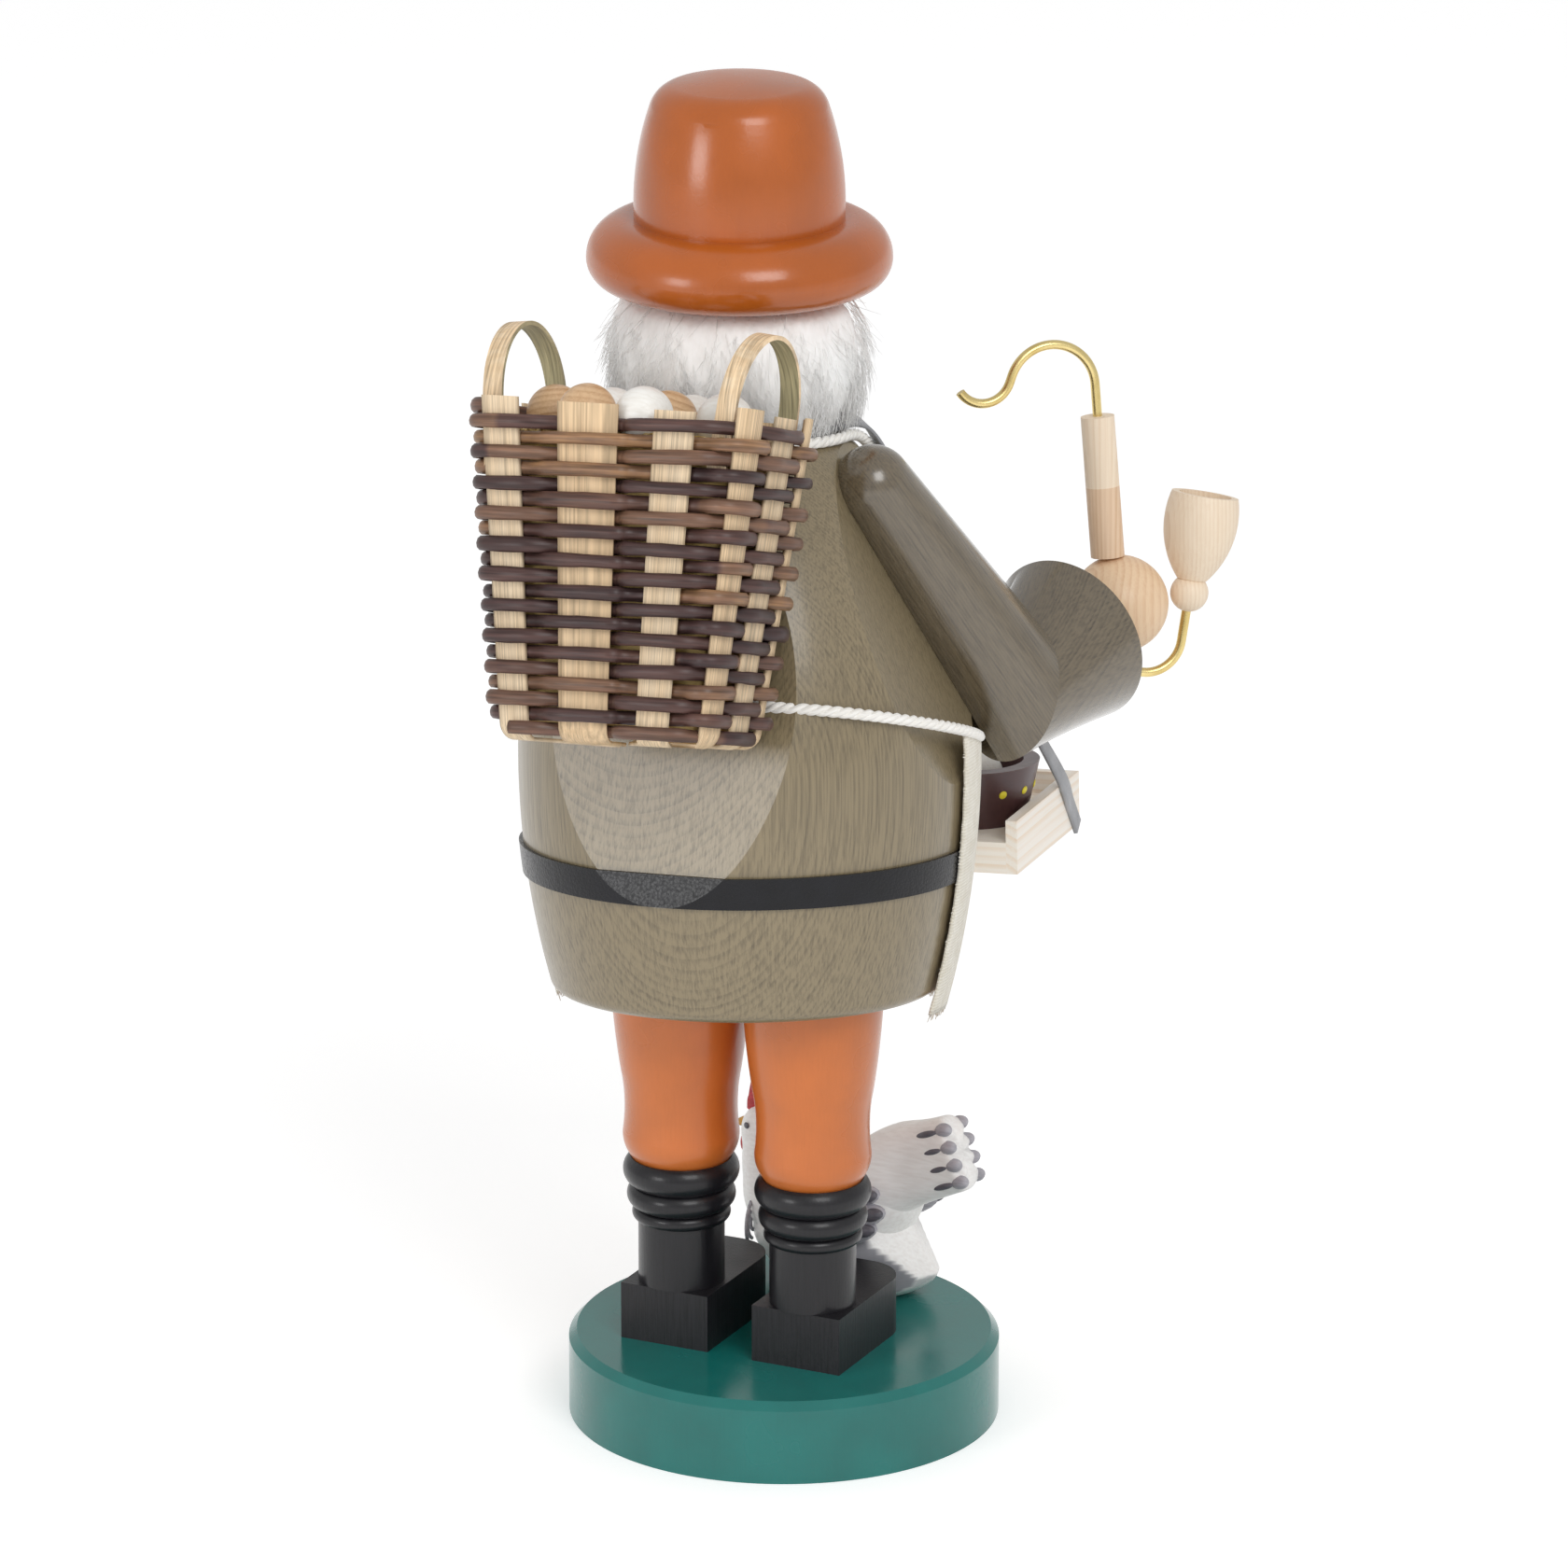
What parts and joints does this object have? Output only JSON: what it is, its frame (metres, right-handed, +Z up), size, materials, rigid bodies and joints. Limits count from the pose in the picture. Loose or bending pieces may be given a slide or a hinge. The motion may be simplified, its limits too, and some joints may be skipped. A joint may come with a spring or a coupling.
{
  "type": "german incense smoker",
  "caption": "Turned wooden incense smoker: egg seller with pack basket, apron, tray, pipe and hen; the coat lifts off the hip plug over a tin plate for an incense cone.",
  "frame": {"origin": "centre of the round base's underside", "axes": "+Z up, the figure faces -Y, the figure's right hand with the pipe is towards -X"},
  "size_m": [0.1557, 0.1743, 0.2899],
  "materials": {
    "teal_lacquer": "satin",
    "black_lacquer": "satin",
    "trouser_lacquer": "satin",
    "dowel_wood": "matte",
    "tin": "satin",
    "steel": "satin",
    "hen_paint": "matte",
    "coat_stain": "satin",
    "sleeve_stain": "satin",
    "belt_leather": "satin",
    "skin_wood": "satin",
    "brass": "polished",
    "pipe_wood": "satin",
    "wicker": "matte",
    "splint": "matte",
    "straw": "matte",
    "brown_egg": "satin",
    "white_egg": "satin",
    "canvas": "matte",
    "cotton_cord": "matte",
    "softwood": "matte",
    "strap_leather": "matte",
    "bowl_lacquer": "gloss",
    "fur": "matte",
    "hat_lacquer": "satin"
  },
  "bodies": {
    "stand": {"base_plate": "teal_lacquer", "left_shoe": "black_lacquer", "right_shoe": "black_lacquer", "left_boot": "black_lacquer", "right_boot": "black_lacquer", "left_trouser_leg": "trouser_lacquer", "right_trouser_leg": "trouser_lacquer", "leg_dowels": "dowel_wood", "hip_plug": "dowel_wood", "cone_plate": "tin", "cone_plate_tacks": "steel", "hen": "hen_paint"},
    "coat": {"coat_body": "coat_stain", "belt": "belt_leather", "right_upper_arm": "sleeve_stain", "left_upper_arm": "sleeve_stain", "right_forearm": "sleeve_stain", "left_forearm": "sleeve_stain", "right_hand": "skin_wood", "left_hand": "skin_wood", "shoulder_dowels": "dowel_wood", "elbow_dowels": "dowel_wood", "wrist_dowels": "dowel_wood", "pipe_wire": "brass", "pipe_stem_lower": "pipe_wood", "pipe_stem_upper": "pipe_wood", "pipe_bowl": "pipe_wood", "basket_shell": "wicker", "basket_floor": "wicker", "basket_right_handle": "splint", "basket_left_handle": "splint", "basket_nails": "steel", "basket_filling": "straw", "brown_eggs": "brown_egg", "white_eggs": "white_egg", "apron": "canvas", "apron_neck_cord": "cotton_cord", "apron_waist_cord": "cotton_cord", "tray_floor": "softwood", "tray_right_wall": "softwood", "tray_left_wall": "softwood", "tray_front_wall": "softwood", "tray_dowels": "dowel_wood", "tray_strap": "strap_leather", "bowl": "bowl_lacquer", "bowl_egg": "white_egg", "head": "skin_wood", "nose": "skin_wood", "hair_fur": "fur", "beard_fur": "fur", "hat_brim": "hat_lacquer", "hat_crown": "hat_lacquer", "hat_dowel": "dowel_wood"}
  },
  "joints": [
    {"name": "coat_lift", "type": "slide", "parent": "stand", "child": "coat", "axis": [0.0598, -0.1145, 0.9916], "range_m": [0, 0.06]}
  ]
}
